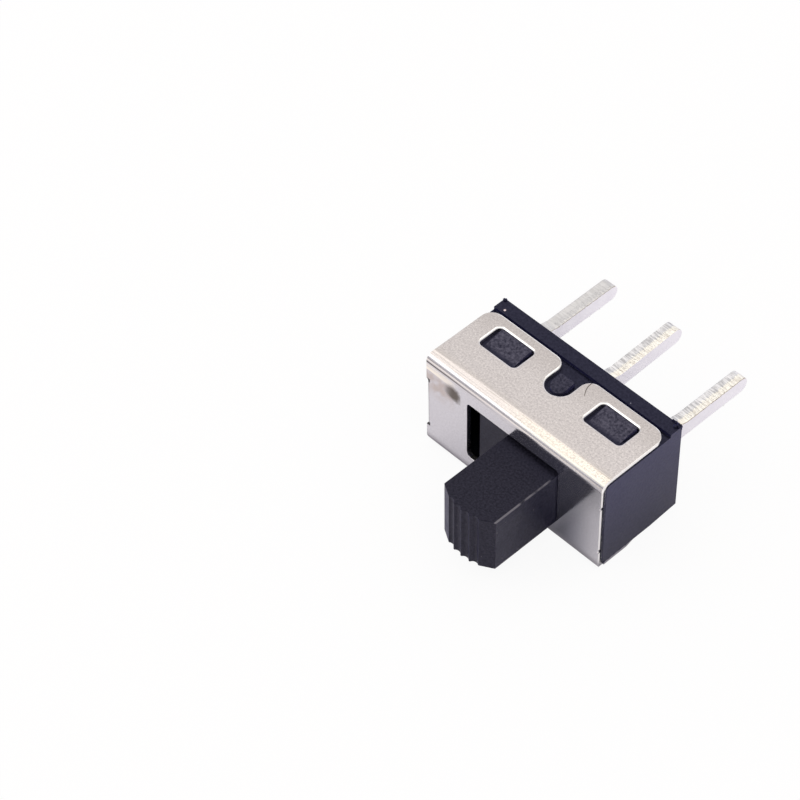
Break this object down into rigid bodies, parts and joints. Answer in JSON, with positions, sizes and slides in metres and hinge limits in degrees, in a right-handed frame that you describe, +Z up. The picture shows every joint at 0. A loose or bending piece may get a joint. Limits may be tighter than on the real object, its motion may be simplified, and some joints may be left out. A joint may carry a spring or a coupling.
{
  "type": "slide switch",
  "caption": "Miniature slide switch: a folded nickel-plated steel shell clipped on a black moulded base, a grooved black lever that slides between end stops, and flat terminals in line.",
  "frame": {"origin": "on the surface that the switch lies on, under the middle of its overall box", "axes": "+X along the lever's travel, -Y out of the front plate along the lever, +Y along the terminals, +Z up, square to the flaps"},
  "size_m": [0.0126, 0.0178, 0.0067],
  "materials": {
    "nickel_steel": "satin nickel plate with fine grain",
    "black_moulding": "glossy black moulding",
    "lever_nylon": "satin black nylon",
    "terminal_plate": "silver-plated brass with sheared edges",
    "contact_plate": "silver-plated spring bronze"
  },
  "bodies": {
    "housing": {"shell": "nickel_steel", "base": "black_moulding", "terminal_left": "terminal_plate", "terminal_middle": "terminal_plate", "terminal_right": "terminal_plate"},
    "lever": {"slider": "lever_nylon", "moving_contact": "contact_plate"}
  },
  "joints": [
    {"name": "lever_slide", "type": "slide", "parent": "housing", "child": "lever", "axis": [1, 0, 0], "range_m": [-0.00284, 0]}
  ]
}
